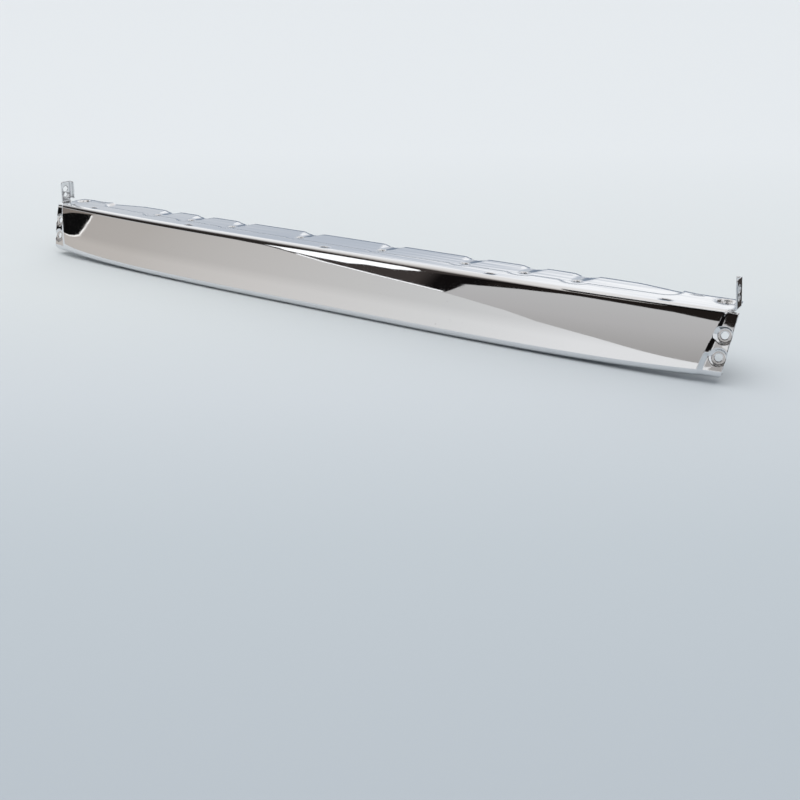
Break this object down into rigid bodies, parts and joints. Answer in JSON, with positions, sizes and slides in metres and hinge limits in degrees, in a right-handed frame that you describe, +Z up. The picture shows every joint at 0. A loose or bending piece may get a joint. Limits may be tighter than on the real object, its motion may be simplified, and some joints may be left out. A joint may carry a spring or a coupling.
{
  "type": "truck step bumper face bar",
  "caption": "Long bowed chrome bumper bar pressed from steel sheet, with a step shelf on top, a bolt flange and an upright ear at each end.",
  "frame": {"origin": "midway between the two bolt holes of the shelf, in the middle of the sheet's thickness there", "axes": "+X along the bar to the right as seen from behind the truck, +Y in to the truck, +Z up"},
  "size_m": [1.4376, 0.1325, 0.1463],
  "materials": {
    "chrome_plate": "bright nickel-chrome plate over polished pressed steel"
  },
  "bodies": {
    "root": {"face_bar": "chrome_plate"}
  },
  "joints": []
}
